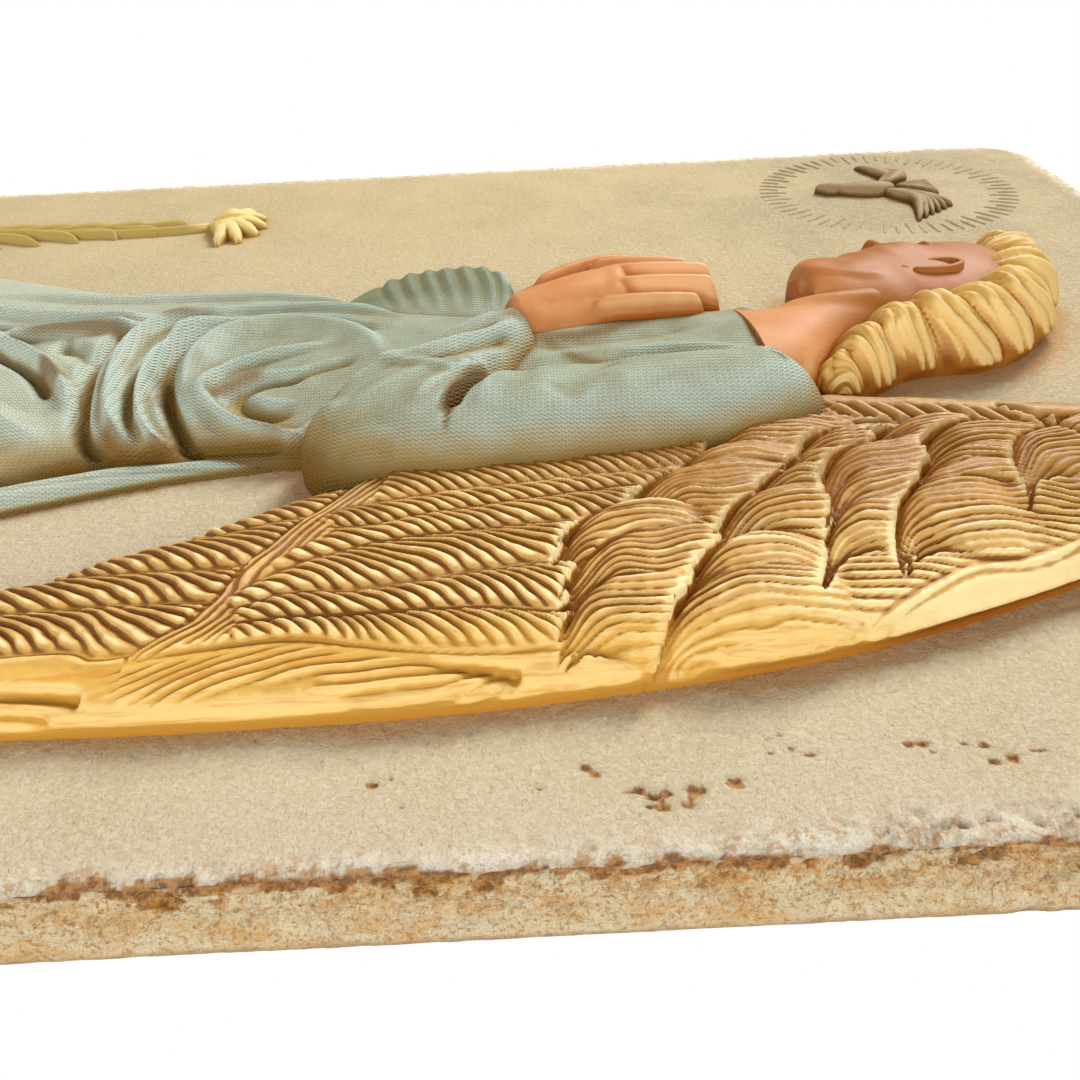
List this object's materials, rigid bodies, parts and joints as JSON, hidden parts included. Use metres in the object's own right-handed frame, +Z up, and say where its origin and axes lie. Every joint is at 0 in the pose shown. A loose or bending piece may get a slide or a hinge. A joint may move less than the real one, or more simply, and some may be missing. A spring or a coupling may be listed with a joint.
{
  "type": "angel relief plaque",
  "caption": "Upright cast wall plaque with a kneeling, praying winged angel in profile relief, a lily at its foot and a dove in a ring of rays above.",
  "frame": {"origin": "centre of the flat back, on the wall's face", "axes": "+Z up, +X to the right of a person who looks at the face, +Y out of the back into the wall"},
  "size_m": [0.28, 0.0337, 0.4],
  "materials": {
    "stone": "cast sand-coloured stone with a fine grain, worn pale and ochre at the edges",
    "wing_paint": "gold-ochre paint with brown wash in the grooves",
    "robe_paint": "pale grey-green paint over a cloth texture, brown wash in the folds",
    "skin_paint": "salmon paint, darker in the hollows",
    "hair_paint": "pale yellow paint with brown wash",
    "lily_paint": "thin green and yellow paint",
    "dove_paint": "grey-brown paint, rubbed thin"
  },
  "bodies": {
    "root": {"plaque": "stone"}
  },
  "joints": []
}
